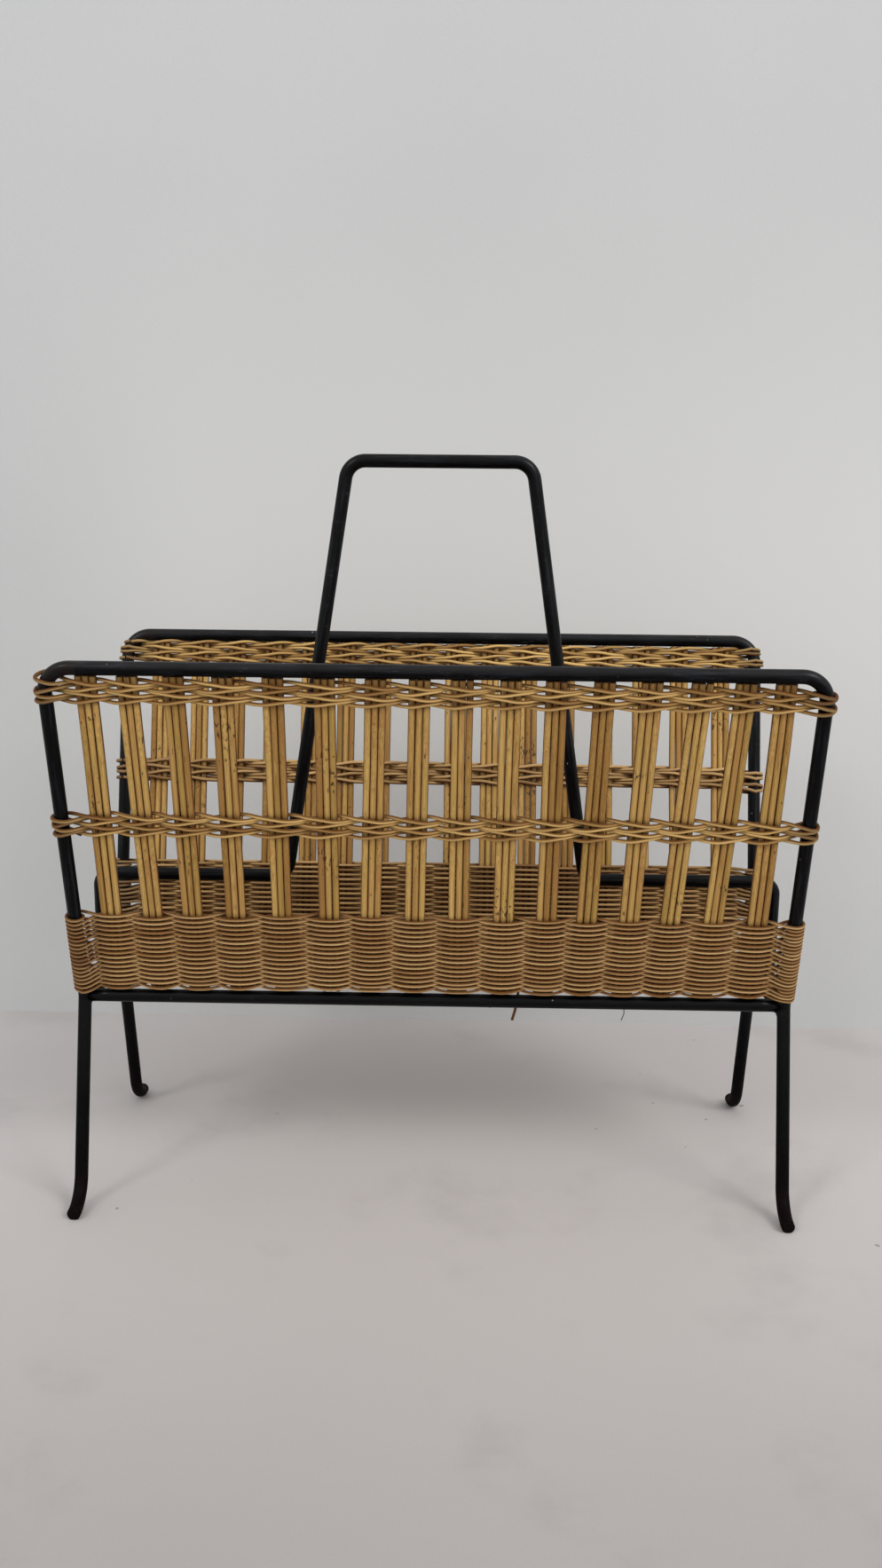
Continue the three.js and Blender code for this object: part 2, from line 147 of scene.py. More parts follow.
def piece(name, shapes, material, nodes):
    """Makes one mesh of some shapes, in metres, hangs it under the root body and hides the CAD
    nodes it stands for.
    """
    points, loops, sizes, uv, smooth, before = [], [], [], [], [], 0
    for shape in shapes:
        for faces, face_uv in zip(shape["faces"], shape["uv"]):
            loops.append(faces.ravel() + before)
            sizes.append(np.full(len(faces), faces.shape[1]))
            smooth.append(np.full(len(faces), faces.shape[1] == 4))
            uv.append(face_uv.ravel())
        points.append(shape["points"])
        before += len(shape["points"])
    points, loops, sizes = np.vstack(points) * MM, np.concatenate(loops), np.concatenate(sizes)
    mesh = bpy.data.meshes.new(name)
    mesh.vertices.add(len(points))
    mesh.vertices.foreach_set("co", points.ravel())
    mesh.loops.add(len(loops))
    mesh.loops.foreach_set("vertex_index", loops)
    mesh.polygons.add(len(sizes))
    mesh.polygons.foreach_set("loop_start", np.cumsum(sizes) - sizes)
    mesh.polygons.foreach_set("use_smooth", np.concatenate(smooth))
    mesh.uv_layers.new(name="Around").uv.foreach_set("vector", np.concatenate(uv))
    for mark in shapes[0]["marks"]:
        values = np.concatenate([shape["marks"][mark] for shape in shapes])
        mesh.attributes.new(mark, "FLOAT", "POINT").data.foreach_set("value", values)
    mesh.update()
    mesh.validate()
    mesh.materials.append(material)
    made = bpy.data.objects.new(name, mesh)
    bpy.context.scene.collection.objects.link(made)
    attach(made, "root")
    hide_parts(*nodes)


class Wire:
    """One output of a shader node. Arithmetic on it adds Math nodes to the same tree."""

    def __init__(self, tree, socket=None):
        self.tree = tree
        self.socket = socket

    def node(self, kind, inputs, output=0, **settings):
        """Adds a node with its settings, then gives its inputs their values or wires.

        A socket goes by its name, or by its number where the node has more of that name.
        """
        made = self.tree.nodes.new("ShaderNode" + kind)
        for setting, value in settings.items():
            setattr(made, setting, value)
        for key, value in inputs.items():
            if isinstance(value, Wire):
                self.tree.links.new(value.socket, made.inputs[key])
            else:
                made.inputs[key].default_value = value
        return Wire(self.tree, made.outputs[output])

    def math(self, operation, *others):
        return self.node("Math", dict(enumerate((self, *others))), operation=operation)

    def __add__(self, other):
        return self.math("ADD", other)

    def __sub__(self, other):
        return self.math("SUBTRACT", other)

    def __mul__(self, other):
        return self.math("MULTIPLY", other)

    __radd__ = __add__

    def part(self, axis):
        """The X, Y or Z of this vector."""
        return self.node("SeparateXYZ", {"Vector": self}, axis)

    def stretched(self, x, y, z):
        """This vector with each axis multiplied."""
        return self.node("VectorMath", {0: self, 1: (x, y, z)}, operation="MULTIPLY")

    def noise(self, scale, detail=2.0, roughness=0.5):
        """Noise from 0 to 1 at this vector."""
        inputs = {"Vector": self, "Scale": scale, "Detail": detail, "Roughness": roughness}
        return self.node("TexNoise", inputs)

    def ramp(self, low, high, at_low=0.0, at_high=1.0):
        """From at_low to at_high as this value goes from low to high, smoothly."""
        inputs = {0: self, 1: low, 2: high, 3: at_low, 4: at_high}
        return self.node("MapRange", inputs, interpolation_type="SMOOTHSTEP")

    def blend(self, colour, other):
        """One colour where this value is 0 and another where it is 1."""
        colours = [c if isinstance(c, Wire) else (*c, 1) for c in (colour, other)]
        return self.node("Mix", {0: self, 6: colours[0], 7: colours[1]}, 2, data_type="RGBA")

    def under(self, *layers):
        """This colour under layers of (share, colour), each laid over the ones before it."""
        seen = self
        for share, colour in layers:
            seen = share.blend(seen, colour)
        return seen


def finish(name, **fixed):
    """A new material: returns it, its tree's wire, and its shader, whose fixed sockets are set."""
    material = bpy.data.materials.new(name)
    material.use_nodes = True
    shader = material.node_tree.nodes["Principled BSDF"]
    for socket, value in fixed.items():
        shader.inputs[socket.replace("_", " ")].default_value = value
    return material, Wire(material.node_tree), shader


def round_the_rod(wires):
    """The cosine and sine of the turn round a rod, and the length along it, from its UV map."""
    uv = wires.node("UVMap", {}, uv_map="Around")
    turned = uv.part("X") * (2 * np.pi)
    return turned.math("COSINE"), turned.math("SINE"), uv.part("Y")


def wear(wires, shader, colour, roughness, height, strength, depth, coat=None):
    """Feeds a finish's changing colour, roughness, bump and any coat to its shader."""
    bump = wires.node("Bump", {"Strength": strength, "Distance": depth, "Height": height})
    changing = {"Base Color": colour, "Roughness": roughness, "Normal": bump, "Coat Weight": coat}
    for socket, wire in changing.items():
        if wire:
            wires.tree.links.new(wire.socket, shader.inputs[socket])


# Satin black paint: faint brush unevenness, more sheen on upper sides, rubbed streaks above the
# waist which are also painted a lighter blue-grey as a painted sheen, grey scuffs, pale chips, dust
# on the top rails and a browned left bend. The lowest 47 mm of the legs are dull with rust, and the
# toes are worn and reddish. Places are in metres.
RUST_LINE, TOE_LINE = 0.047, 0.0205
black_paint, wires, shader = finish("black_paint", Specular_IOR_Level=0.04, Coat_Roughness=0.26)
place = wires.node("TexCoord", {}, "Object")
across, height = place.part("X"), place.part("Z")
upward = wires.node("NewGeometry", {}, "Normal").part("Z")
cosine, sine, length = round_the_rod(wires)
skin = wires.node("CombineXYZ", {"X": cosine, "Y": sine, "Z": length * 14})
cloud = place.noise(35.0, 3.0)
grit = place.noise(900.0, 3.0, 0.6)
lumps = place.stretched(0.35, 1, 1).noise(150.0, 3.0, 0.6)
edge = place.noise(260.0, 4.0, 0.65)
# Rubbed streaks along the rod above the waist, which also carry a painted sheen.
rubbed_with_painted_sheen = skin.noise(2.2, 5.0, 0.6).ramp(0.48, 0.70) * height.ramp(0.12, 0.18)
scuff = place.stretched(1, 4, 4).noise(70.0, 8.0, 0.75).ramp(0.56, 0.72)
scuff = scuff * height.ramp(0.30, 0.335, 0.25, 1.0)
chip = place.stretched(1, 1, 0.6).noise(330.0, 1.0).ramp(0.80, 0.82)
dust = upward.ramp(-0.35, 0.75) * height.ramp(0.315, 0.330) * height.ramp(0.40, 0.36)
dust = dust * cloud.ramp(0.25, 0.65, 0.35, 1.0)
browned = across.ramp(-0.1925, -0.1945) * height.ramp(0.310, 0.326)
rust = (height + (edge - 0.5) * 0.006).ramp(RUST_LINE + 0.0015, RUST_LINE - 0.0015)
rust = rust * (0.35 + edge.ramp(0.35, 0.62) * 0.65)
toe = (height + (edge - 0.5) * 0.004).ramp(TOE_LINE + 0.001, TOE_LINE - 0.001)
paint = cloud.ramp(0.35, 0.7).blend((0.0008, 0.0008, 0.0010), (0.0018, 0.0019, 0.0025))
paint = paint.under(
    # Rubbed streaks: the lighter blue-grey here is a painted sheen.
    (rubbed_with_painted_sheen * 0.8, (0.0072, 0.0090, 0.0130)),
    (dust * 0.75, (0.017, 0.0165, 0.0185)),
    (browned * 0.8, (0.0135, 0.0085, 0.0085)),
    (scuff * 0.6, (0.044, 0.045, 0.054)),
    (chip * 0.7, (0.30, 0.30, 0.28)),
    (rust * 0.8, (0.0036, 0.0020, 0.0018)),
    (toe * 0.8, (0.0055, 0.0026, 0.0024)),
)
gloss = 0.30 + cloud * 0.12 + scuff * 0.15 + rust * 0.3 + toe * 0.1
sheen = (upward * height.ramp(0.12, 0.30)).ramp(-1.0, 1.0, 0.05, 0.38)
sheen = sheen * (0.7 + rubbed_with_painted_sheen * 0.7) * height.ramp(0.02, 0.13, 0.12, 1.2)
wear(wires, shader, paint, gloss, grit * 0.25 + edge * rust * 1.5 + lumps * 1.8, 0.5, 0.0004, sheen)

for side, name in ((-1, "front"), (1, "back")):
    corners = [
        (-UPRIGHT, side * FOOT_TIP_AT, FOOT_HEIGHT),
        (-UPRIGHT, side * FOOT_BEND_AT, FOOT_HEIGHT),
        (-UPRIGHT, side * WAIST[0], WAIST[1]),
        (-UPRIGHT, side * SHOULDER[0], SHOULDER[1]),
    ]
    corners += [(-x, y, z) for x, y, z in reversed(corners)]
    path = bent(corners, SIDE_BENDS + SIDE_BENDS[::-1])
    ahead = ahead_of(path)
    # The ring's first direction looks out of the panel, and out of the leg below the waist.
    outward = np.array([0, side * np.cos(PANEL_LEAN), -np.sin(PANEL_LEAN)])
    square = np.cross([1, 0, 0], ahead) * side * np.sign(path[:, :1])
    guide = np.where(np.abs(ahead[:, :1]) < 1e-6, square, outward)
    rod = tube(path, ROD, guide, ROD_SIDES, TOE_END)
    rod["points"][:, 2] = np.maximum(rod["points"][:, 2], 0)  # the worn flat under each foot
    piece(f"{name}_side_rod_steel", [rod], black_paint, [f"{name}_side_rod"])

# ---- Bottom rails and end rods ----
# Four straight rods of the same stock, cut to fit between the waists of the side rods and welded
# there. The reeds turn over the two long ones.

BUTT = ROD - 1.2  # a cut end runs this far short of its neighbour's centre line

for side, name in ((-1, "front"), (1, "back")):
    ends = [(x, side * WAIST[0], WAIST[1]) for x in (BUTT - UPRIGHT, UPRIGHT - BUTT)]
    rail = tube(bent(ends, []), ROD, (0, side, 0), ROD_SIDES)
    piece(f"{name}_bottom_rail_steel", [rail], black_paint, [f"{name}_bottom_rail"])

for hand, name in ((-1, "left"), (1, "right")):
    ends = [(hand * UPRIGHT, y, WAIST[1]) for y in (BUTT - WAIST[0], WAIST[0] - BUTT)]
    rod = tube(bent(ends, []), ROD, (hand, 0, 0), ROD_SIDES)
    piece(f"{name}_end_rod_steel", [rod], black_paint, [f"{name}_end_rod"])

# ---- Handle with the two dividers ----
# One more rod of the same stock in the middle plane: up from the left end rod, in along the left
# divider, up and over as the handle, and out along the right divider to the right end rod.

DIVIDER_UP = 190.5
HANDLE_UP = 445.5
HANDLE_FOOT = 93.5  # middle to where a divider turns up into the handle
HANDLE_TOP = 55.0  # middle to the handle's right top bend
HANDLE_LEFT_TOP = 54.1  # the left one is a shade nearer
HANDLE_BENDS = [8, 10, 12]  # bend radii over the end rod, at the handle's foot and at its top

corners = [
    (-UPRIGHT, 0, WAIST[1] + BUTT),
    (-UPRIGHT, 0, DIVIDER_UP),
    (-HANDLE_FOOT, 0, DIVIDER_UP),
    (-HANDLE_TOP, 0, HANDLE_UP),
]
corners += [(-x, y, z) for x, y, z in reversed(corners)]
corners[3] = (-HANDLE_LEFT_TOP, 0, HANDLE_UP)
rod = tube(bent(corners, HANDLE_BENDS + HANDLE_BENDS[::-1]), ROD, (0, -1, 0), ROD_SIDES)
piece("handle_divider_steel", [rod], black_paint, ["handle_divider_rod"])

# ---- Welds ----
# A run of weld metal round each joint, painted over with the rods. The one at the front right
# corner is a full hollow fillet, the others are small.

LOW_FILLET = 0.5  # height of every weld where it is lowest
# How much higher each kind is where it is highest.
FULL_FILLET, RAIL_FILLET, END_ROD_FILLET, DIVIDER_FILLET = 2.6, 0.9, 1.2, 1.6
WELD_SIDES = 40
WELD_UNDER = 0.4  # how far a weld reaches in under the skin of the butting rod
WELD_SUNK = 0.05  # how deep its edge lies in the other rod's skin
WELD_REACH = 3.7  # it stays this near to the other rod's centre line, sideways


def weld_run(at, away, along, size, seed):
    """A weld round a rod that butts on another: a closed ring of a hollow fillet.

    At angle a round the butting rod, the fillet is 0.5 + size x |cos a|^1.5 high, wavy by a few
    percent. Its curve is a quarter circle, from the other rod's skin, sqrt(4^2 - offset^2) from
    that rod's centre line, to the butting rod's skin.
    """
    away, along = np.array(away, float), np.array(along, float)
    across = np.cross(away, along)
    angle = np.arange(WELD_SIDES)[:, None] * 2 * np.pi / WELD_SIDES
    wave = 1 + 0.10 * np.sin(9 * angle + seed) + 0.06 * np.sin(17 * angle + 2 * seed)
    reach = (LOW_FILLET + size * np.abs(np.cos(angle)) ** 1.5) * wave
    quarter = np.linspace(0, np.pi / 2, 7)
    out = ROD + reach * (1 - np.sin(quarter))
    lift = reach * (1 - np.cos(quarter))
    # Two rings more close the weld inside the rods.
    inner = np.full_like(angle, ROD - WELD_UNDER)
    out = np.hstack([out, inner, inner])
    lift = np.hstack([lift, lift[:, -1:], np.full_like(angle, -1.0)])
    offset = np.clip(out * np.sin(angle), -WELD_REACH, WELD_REACH)
    lift = lift + np.sqrt(ROD**2 - offset**2) - WELD_SUNK
    ring = np.cos(angle)[..., None] * along + np.sin(angle)[..., None] * across
    points = np.array(at) + out[..., None] * ring + lift[..., None] * away
    rows, columns = lift.shape
    turn, step = np.meshgrid(np.arange(rows), np.arange(columns), indexing="ij")
    here, after = turn * columns, (turn + 1) % rows * columns
    beside = (step + 1) % columns
    quads = np.stack([here + step, after + step, after + beside, here + beside], -1)
    around = np.stack([turn, turn + 1, turn + 1, turn], -1) / rows
    length = np.stack([step, step, step + 1, step + 1], -1) * MM
    return {
        "points": points.reshape(-1, 3),
        "faces": [quads.reshape(-1, 4)],
        "uv": [np.stack([around, length], -1).reshape(-1, 4, 2)],
        "marks": {},
    }


for side, panel in ((-1, "front"), (1, "back")):
    for hand, name in ((-1, "left"), (1, "right")):
        at = (hand * UPRIGHT, side * WAIST[0], WAIST[1])
        size = FULL_FILLET if (panel, name) == ("front", "right") else RAIL_FILLET
        runs = [
            weld_run(at, (-hand, 0, 0), (0, 0, 1), size, hand + side),
            weld_run(at, (0, -side, 0), (0, 0, 1), END_ROD_FILLET, hand - side),
        ]
        node = f"{panel}_{name}_weld_bead"
        piece(f"{panel}_{name}_weld", runs, black_paint, [node])

for hand, name in ((-1, "left"), (1, "right")):
    run = weld_run((hand * UPRIGHT, 0, WAIST[1]), (0, 0, 1), (0, 1, 0), DIVIDER_FILLET, hand)
    piece(f"{name}_divider_weld", [run], black_paint, [f"{name}_divider_weld_bead"])

# ---- Stakes ----
# Sixteen uprights of three round golden reeds each, 4.1 mm thick. They start under the front top
# rail, go down the front, over both bottom rails under the trough and up to the back top rail.

REED = 2.05  # radius
REED_SIDES = 14
REED_END = [(-0.16, 1), (-0.04, 0.94), (0, 0.80)]  # cut square, its edge a little broken
BESIDE = 2 * REED * 0.965  # between the middles of two reeds, which press on each other
PITCH = 25.3
FLOOR_LEVEL = 131.85  # centre of the reeds where they cross over the bottom rails
TURN = 3.0  # bend radius of a reed over a rail
TURN_ANGLE = np.pi / 2 - PANEL_LEAN
TURN_FROM = 42.76  # out from the middle plane to the bend's start
TURN_TO = TURN_FROM + TURN * TURN_ANGLE  # along the reed to the bend's end
RISE_AT_TURN = 8.89  # up the panel from the bottom rail's centre line to the bend's end
RISE_AT_FOOT = 6.55  # up the panel to where a stake's place at the bottom rail is given
RISE_AT_TOP = 208.9  # up the panel to a reed's cut end
UNEVEN_CUT = 0.4  # the most that a reed is cut short

# How far each stake stands off its even place, in pitches.
AT_FRONT_TOP = [0.02, -0.09, -0.10, -0.04, 0.04, 0.15, 0.25, 0.20]
AT_FRONT_TOP += [0.11, 0.15, 0.12, 0.15, 0.16, 0.22, 0.15, 0.01]
AT_FRONT_FOOT = [-0.04, -0.04, -0.12, -0.13, -0.05, 0.05, -0.02, 0.02]
AT_FRONT_FOOT += [0.07, 0.12, 0.13, 0.03, 0.02, -0.08, -0.06, 0.02]
AT_BACK = [0.01, 0.06, 0.05, 0.03, 0.03, 0, -0.04, -0.07]
AT_BACK += [-0.12, -0.16, -0.13, -0.13, -0.11, -0.12, -0.12, -0.01]


def up_panel(rise):
    """Distance along the wicker from the middle of the floor to a rise up a panel."""
    return TURN_TO + rise - RISE_AT_TURN


# Dust and painted shade on the stakes, by rise: most behind the bottom bands, less behind the
# other bands and up to the cut ends under the top rail.
DUST_AND_SHADE_AT = [up_panel(rise) for rise in (57.5, 59.5, 111, 113, 124, 127, 191, 194, 204, 209)]
DUST_AND_SHADE = [1, 0, 0, 0.7, 0.7, 0, 0, 0.75, 0.6, 0.6]


def across_at(number, along):
    """Where stake number stands, for any fraction between stakes and any distance along.

    Stakes count from 0 to 15, with the left upright as -1 and the right one as 16. Between two
    stakes, and between the front top, the front foot and the back, the place changes evenly.
    """
    known = np.arange(-1, 17)
    even = (np.arange(16) - 7.5) * PITCH
    top, foot, back = (
        np.interp(number, known, [-UPRIGHT, *(even + PITCH * np.array(shares)), UPRIGHT])
        for shares in (AT_FRONT_TOP, AT_FRONT_FOOT, AT_BACK)
    )
    foot_at, top_at = up_panel(RISE_AT_FOOT), up_panel(RISE_AT_TOP)
    to_foot = np.clip((foot_at - along) / (2 * foot_at), 0, 1)
    to_top = np.clip((-foot_at - along) / (top_at - foot_at), 0, 1)
    return back + (foot - back) * to_foot + (top - foot) * to_top


def on_wicker(across, along, proud):
    """A point on the bent sheet that the stakes lie in, or proud of it.

    Along is the distance from the middle of the floor, minus to the front. The sheet is flat to
    the bend, turns on a circle, then runs straight up the panel. Proud is measured outwards.
    """
    side, far = np.where(along < 0, -1, 1), np.abs(along)
    turn = np.clip((far - TURN_FROM) / TURN, 0, TURN_ANGLE)
    flat, rise = np.minimum(far, TURN_FROM), np.maximum(far - TURN_TO, 0)
    out = flat + (TURN + proud) * np.sin(turn) + rise * np.cos(turn)
    up = FLOOR_LEVEL + TURN - (TURN + proud) * np.cos(turn) + rise * np.sin(turn)
    return np.stack([across + 0 * out, side * out, up], -1)


def drift(random, where, wavelength, size):
    """A smooth random line through where: random heights a wavelength apart, joined by cosines."""
    knots = random.normal(0, size, int(np.ptp(where) / wavelength) + 3)
    place = (where - where.min()) / wavelength
    low = place.astype(int)
    part = (1 - np.cos(np.pi * (place - low))) / 2
    return knots[low] * (1 - part) + knots[low + 1] * part


# Dry golden reed: long fine streaks, soft clouds and hues, sparse dark specks, a red-brown line
# down the sides where reeds touch, and painted shade over the flanks of each reed. Behind the
# weave, up to their cut ends under the top rail, the reeds are dark with dust and with painted
# shade.
golden_reed, wires, shader = finish("golden_reed", Specular_IOR_Level=0.28)
tone = wires.node("Attribute", {}, "Fac", attribute_name="tone")
# The dust mark is dust and painted shade together, behind the weave and under the top rail.
dust = wires.node("Attribute", {}, "Fac", attribute_name="dust")
place = wires.node("TexCoord", {}, "Object")
cosine, sine, length = round_the_rod(wires)
lengthwise = length * 6 + tone * 40
skin = wires.node("CombineXYZ", {"X": cosine * 0.3, "Y": sine * 0.3, "Z": lengthwise})
streak = skin.stretched(14, 14, 1).noise(1.6, 4.0, 0.6)
fine = skin.stretched(26, 26, 1.5).noise(1.5, 4.0, 0.65)
cloud = skin.stretched(1, 1, 2.2).noise(1.5, 3.0, 0.6)
hue = skin.stretched(0.6, 0.6, 0.3).noise(1.5, 2.0)
speck = place.stretched(1, 1, 0.4).noise(480.0, 2.0, 0.5).ramp(0.70, 0.75)
char = place.stretched(1, 1, 0.45).noise(620.0, 2.0).ramp(0.58, 0.64)
char = place.noise(26.0, 2.0).ramp(0.60, 0.66) * char
contact = sine.math("ABSOLUTE").ramp(0.74, 0.96)
# Painted shade: each reed darker towards its flanks, where the grooves between reeds are.
painted_flank_shade = sine.math("ABSOLUTE").ramp(0.25, 0.90)
reed = (streak * 0.65 + tone * 0.35).ramp(0.32, 0.66)
reed = reed.blend((0.34, 0.175, 0.040), (0.68, 0.430, 0.135)).under(
    (cloud.ramp(0.55, 0.75) * 0.45, (0.27, 0.135, 0.042)),
    (fine.ramp(0.50, 0.60) * 0.65, (0.17, 0.070, 0.016)),
    (hue.ramp(0.51, 0.63) * 0.35, (0.42, 0.190, 0.055)),
    (hue.ramp(0.47, 0.36) * 0.30, (0.42, 0.300, 0.060)),
    (painted_flank_shade * 0.35, (0.24, 0.110, 0.020)),
    (contact * (0.70 + streak * 0.45), (0.075, 0.016, 0.002)),
    # Dust and painted shade behind the weave: a dark red-brown.
    (dust * (0.72 + fine.ramp(0.42, 0.56) * 0.4), (0.070, 0.019, 0.002)),
    (speck.math("MAXIMUM", char) * 0.85, (0.035, 0.015, 0.008)),
)
gloss = 0.46 + fine * 0.16 + cloud * 0.08 + contact * 0.15
wear(wires, shader, reed, gloss, streak * 0.7 + fine * 0.6 - speck * 0.5, 0.5, 0.00025)

rise = TURN_TO + np.linspace(0, up_panel(RISE_AT_TOP) - TURN_TO, 81)
bend = np.linspace(TURN_FROM, TURN_TO, 7)
floor = np.linspace(-TURN_FROM, TURN_FROM, 16)
STAKE_LINE = np.concatenate([-rise[:0:-1], -bend[:0:-1], floor, bend[1:], rise[1:]])

for number in range(16):
    random = np.random.default_rng(40 + number)
    reeds = []
    for beside in (-1, 0, 1):
        front_cut, back_cut = random.uniform(0, UNEVEN_CUT, 2)
        along = STAKE_LINE.copy()
        along[0] += front_cut
        along[-1] -= back_cut
        wobble = drift(random, along, 45, 0.10)
        across = across_at(number, along) + beside * BESIDE + wobble
        path = on_wicker(across, along, drift(random, along, 60, 0.08))
        tone = np.clip(random.uniform(0.15, 0.85) + drift(random, along, 70, 0.12), 0, 1)
        guide = on_wicker(across, along, 1.0) - on_wicker(across, along, 0.0)
        girth = REED * (1 + drift(random, along, 80, 0.012)) * random.uniform(0.975, 1.01)
        # How much dust and painted shade the reed takes at each station.
        dust = np.interp(np.abs(along), DUST_AND_SHADE_AT, DUST_AND_SHADE)
        reeds.append(tube(path, girth, guide, REED_SIDES, REED_END, tone=tone, dust=dust))
    name = f"stake_{number + 1:02d}"
    piece(f"{name}_reeds", reeds, golden_reed, [name])

# ---- Bottom bands and floor, plain woven ----
# One thin reed, 1.9 mm, goes over one stake and under the next from end to end, round the upright
# and back, row on row, on both panels and on the floor, where it goes round the end rods.

WEAVER = 0.95  # radius
WEAVER_SIDES = 8
WEAVER_END = [(-0.1, 1), (0.05, 0.7)]  # cut square
CREST = 3.2  # centre of a weaver over a stake, out from the stakes' middle
ROUND_ROD = 4.93  # centre of a weaver round a rod, out from the rod's middle
ROW = 1.595  # between rows
FIRST_TURN = 1.9  # the lowest turn round an upright lies this far below the lowest row
FLOOR_SINK = 6.35  # the end rods' middle lies this far below the floor's
STATIONS = 14  # stations of a weaver's path from one stake to the next
NUMBER = np.linspace(-1, 16, 17 * STATIONS + 1)  # from the left upright to the right one


def eased(value, low, high):
    """From 0 to 1 as a value goes from low to high: t x t x (3 - 2 t)."""
    part = np.clip((value - low) / (high - low), 0, 1)
    return part * part * (3 - 2 * part)


BY_LEFT, BY_RIGHT = eased(-NUMBER, 0.3, 0.95), eased(NUMBER, 15.3, 15.95)


def crest_at(number):
    """How far a weaver stands out over stake number: more where it goes round the end."""
    return CREST + (ROUND_ROD - CREST) * eased(np.abs(number - 7.5), 7.9, 8.5)


def swing(number):
    """From 1 at even stakes to -1 at odd ones: a cosine, a little flattened over the stakes."""
    return np.tanh(0.85 * np.cos(np.pi * number)) / np.tanh(0.85)


def round_rod(hand, centre, rises, facing, turns=0, loose=0.0):
    """Half a turn of a weaver round an upright or end rod, from the side it faces to the other.

    Across is the rod's centre + hand x radius x sin a and proud is facing x radius x cos a, with
    any whole turns added, while the rise goes evenly from the first to the second of rises. The
    radius is more by loose x sin^2 of the way along the turn.
    """
    end = np.pi * (1 + 2 * turns)
    angle = np.linspace(0, end, 12 + 20 * int(turns))[1:-1]
    radius = ROUND_ROD + loose * np.sin(angle / end * np.pi) ** 2
    rise = rises[0] + (rises[1] - rises[0]) * angle / end
    across = centre(rise) + hand * radius * np.sin(angle)
    return across, rise, facing * radius * np.cos(angle)


def on_panel(across, along, proud):
    """On the wicker, but going straight on down beside an upright, as the upright does.

    The straight sheet starts from the bend's end. From 196 to 208 mm out the point goes over to it.
    """
    side, rise = np.where(along < 0, -1, 1), np.abs(along) - TURN_TO
    sine, cosine = np.sin(TURN_ANGLE), np.cos(TURN_ANGLE)
    out = TURN_FROM + (TURN + proud) * sine + rise * cosine
    up = FLOOR_LEVEL + TURN - (TURN + proud) * cosine + rise * sine
    near = np.clip((np.abs(across) - 196) / 12, 0, 1)[:, None]
    straight = np.stack([across, side * out, up], -1)
    return straight * near + on_wicker(across, along, proud) * (1 - near)


def weaver(sheet, runs, random, tone, sink=0.0, radius=WEAVER):
    """A weaver's tube along runs of (across, along, proud), a little uneven in girth and tone.

    Its facing mark is the way out from the stake or rod that it crosses.
    """
    across, along, proud = (np.concatenate(part) for part in zip(*runs))
    path = sheet(across, along, proud)
    up = sheet(across, along + 1, proud) - path
    outwards = sheet(across, along, proud + 1) - path
    out = (proud - sink * (np.abs(across) > UPRIGHT - 4)) / CREST
    beyond = np.clip((np.abs(across) - UPRIGHT) / ROUND_ROD, 0, 1) * np.sign(across)
    facing = np.clip(out, -1, 1)[:, None] * outwards + beyond[:, None] * [1, 0, 0]
    where = np.arange(len(path)) / STATIONS
    girth = radius * (1 + drift(random, where, 3, 0.03))
    tone = np.clip(tone + drift(random, where, 6, 0.26), 0, 1)
    return tube(path, girth, up, WEAVER_SIDES, WEAVER_END, tone=tone, facing=facing)


def wraps(rises, first, extra):
    """Where each row meets an upright, and how many whole turns the weaver takes there.

    Rows first, first + 2 and so on arrive there, and the weaver goes round into the next row. A
    few take a whole turn more, evenly spread, and all the turns lie evenly spaced.
    """
    arrive = np.arange(first, len(rises) - 1, 2)
    whole = np.diff(np.floor(np.arange(len(arrive) + 1) * extra / len(arrive)))
    lowest = rises[0] - np.sign(rises[0]) * FIRST_TURN
    step = (rises[-1] - lowest) / (len(arrive) + extra)
    places, turns = rises.copy(), np.zeros(len(rises), int)
    places[arrive] = lowest + step * np.concatenate([[0], np.cumsum(1 + whole)[:-1]])
    places[arrive + 1] = places[arrive] + step * (0.5 + whole)
    turns[arrive] = whole
    return places, turns


def plain_weave(rises, left, right, random, sink=0.0):
    """The runs of one weaver through plain woven rows, given as distances along the wicker.

    Row k runs right where k is even and left where it is odd, and stands proud by crest x swing x
    (-1)^k. Near an upright it goes to the place that left or right gives it there, then round the
    upright into the next row. Sink lowers the ends to a rod beside the sheet.
    """
    lowered = sink * np.clip((np.abs(NUMBER - 7.5) - 7.2) / 1.3, 0, 1) ** 1.5
    waves = drift(random, NUMBER, 3, 0.12)
    runs = []
    for k, rise in enumerate(rises):
        way = 1 if k % 2 == 0 else -1
        row = rise + (left[0][k] - rise) * BY_LEFT + (right[0][k] - rise) * BY_RIGHT
        row = row + waves + drift(random, NUMBER, 2.5, 0.03)
        if sink == 0:
            # Pressed down on the rail, the lowest rows come out level over all stakes.
            row = row + np.sign(rise) * max(0.7 - 0.17 * k, 0) * swing(NUMBER)
        out = way * crest_at(NUMBER) * swing(NUMBER) + lowered + drift(random, NUMBER, 2, 0.04)
        runs.append([part[::way] for part in (across_at(NUMBER, row), row, out)])
        places, turns = right if way == 1 else left
        facing = np.sign(out[::way][-1] - sink)
        if k + 1 < len(rises) or facing > 0:
            ends = places[k], places[min(k + 1, len(rises) - 1)]
            turn = round_rod(way, lambda rise: way * UPRIGHT, ends, facing, turns[k])
            runs.append([turn[0], turn[1], turn[2] + sink])
    return runs


